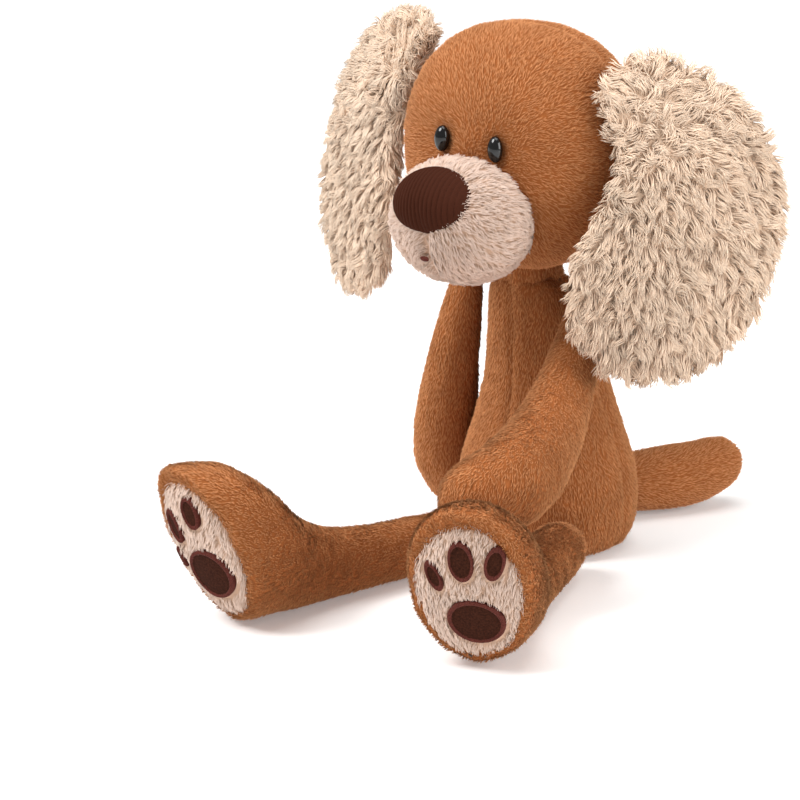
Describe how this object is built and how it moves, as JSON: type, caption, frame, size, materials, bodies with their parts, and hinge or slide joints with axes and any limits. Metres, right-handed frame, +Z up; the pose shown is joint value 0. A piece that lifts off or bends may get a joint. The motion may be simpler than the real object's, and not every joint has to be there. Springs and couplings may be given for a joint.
{
  "type": "plush dog",
  "caption": "Floppy seated plush dog with long arms and legs, big fleecy ears, a padded muzzle and embroidered paw pads.",
  "frame": {"origin": "middle of the flat panel that the dog sits on, on the floor", "axes": "+Z up, the dog faces -Y, its left side is +X"},
  "size_m": [0.2405, 0.3123, 0.2338],
  "materials": {
    "brown_plush": "short dense velvet pile, matt with a soft sheen",
    "beige_plush": "short beige pile",
    "cream_plush": "short cream pile",
    "sherpa": "long curled cream pile",
    "corduroy": "dark brown corduroy with narrow wales",
    "thread": "dark brown satin stitch",
    "embroidery": "dark brown short nap patch with a satin-stitched rim",
    "eye_plastic": "polished black",
    "washer_plastic": "moulded, natural",
    "polyester_stuffing": "loose white fibre",
    "pellet_bag": "woven bag of plastic pellets"
  },
  "bodies": {
    "body": {"belly_panel": "brown_plush", "back_panel_left": "brown_plush", "back_panel_right": "brown_plush", "seat_panel": "brown_plush", "pellet_bag": "pellet_bag", "body_stuffing": "polyester_stuffing"},
    "neck": {"neck_wadding": "polyester_stuffing"},
    "head": {"face_panel": "brown_plush", "head_back_panel": "brown_plush", "head_stuffing": "polyester_stuffing", "eye_left": "eye_plastic", "eye_right": "eye_plastic", "eye_washer_left": "washer_plastic", "eye_washer_right": "washer_plastic", "mouth_stitch": "thread", "muzzle_cover": "beige_plush", "muzzle_stuffing": "polyester_stuffing", "nose": "corduroy"},
    "ear_left": {"ear_left_inner": "sherpa", "ear_left_outer": "sherpa"},
    "ear_right": {"ear_right_inner": "sherpa", "ear_right_outer": "sherpa"},
    "arm_left": {"arm_left_cover": "brown_plush", "arm_left_stuffing": "polyester_stuffing"},
    "arm_right": {"arm_right_cover": "brown_plush", "arm_right_stuffing": "polyester_stuffing"},
    "leg_left": {"pad_left": "embroidery", "sole_left": "cream_plush", "toe_inner_left": "embroidery", "toe_middle_left": "embroidery", "toe_outer_left": "embroidery", "leg_left_cover": "brown_plush", "leg_left_stuffing": "polyester_stuffing"},
    "leg_right": {"pad_right": "embroidery", "sole_right": "cream_plush", "toe_inner_right": "embroidery", "toe_middle_right": "embroidery", "toe_outer_right": "embroidery", "leg_right_cover": "brown_plush", "leg_right_stuffing": "polyester_stuffing"},
    "tail": {"tail_cover": "brown_plush", "tail_stuffing": "polyester_stuffing"}
  },
  "joints": [
    {"name": "head_turn", "type": "hinge", "parent": "body", "child": "neck", "pos_m": [0, -0.018, 0.127], "axis": [0, 0, 1], "range_deg": [-12, 12], "stiffness_Nm_per_rad": 0.6},
    {"name": "head_nod", "type": "hinge", "parent": "neck", "child": "head", "pos_m": [0, -0.018, 0.127], "axis": [1, 0, 0], "range_deg": [-6, 4], "stiffness_Nm_per_rad": 1.2},
    {"name": "ear_left_lift", "type": "hinge", "parent": "head", "child": "ear_left", "pos_m": [0.04819, -0.02823, 0.22248], "axis": [-0.6, -0.8, 0], "range_deg": [0, 45], "stiffness_Nm_per_rad": 0.15},
    {"name": "ear_right_lift", "type": "hinge", "parent": "head", "child": "ear_right", "pos_m": [-0.03867, -0.01779, 0.22603], "axis": [-0.7822, 0.5215, 0.341], "range_deg": [0, 35], "stiffness_Nm_per_rad": 0.15},
    {"name": "arm_left_swing", "type": "hinge", "parent": "body", "child": "arm_left", "pos_m": [0.0335, -0.018, 0.114], "axis": [-1, 0, 0], "range_deg": [0, 22], "stiffness_Nm_per_rad": 0.4},
    {"name": "arm_right_lift", "type": "hinge", "parent": "body", "child": "arm_right", "pos_m": [-0.0355, -0.012, 0.115], "axis": [0, 1, 0], "range_deg": [0, 40], "stiffness_Nm_per_rad": 0.4},
    {"name": "leg_left_splay", "type": "hinge", "parent": "body", "child": "leg_left", "pos_m": [0.038, -0.045, 0.014], "axis": [0, 0, 1], "range_deg": [0, 20], "stiffness_Nm_per_rad": 0.4},
    {"name": "leg_right_splay", "type": "hinge", "parent": "body", "child": "leg_right", "pos_m": [-0.009, -0.058, 0.014], "axis": [0, 0, -1], "range_deg": [-5, 25], "stiffness_Nm_per_rad": 0.4},
    {"name": "tail_wag", "type": "hinge", "parent": "body", "child": "tail", "pos_m": [0.005, 0.055, 0.0156], "axis": [0, 0, 1], "range_deg": [-20, 20], "stiffness_Nm_per_rad": 0.2}
  ]
}
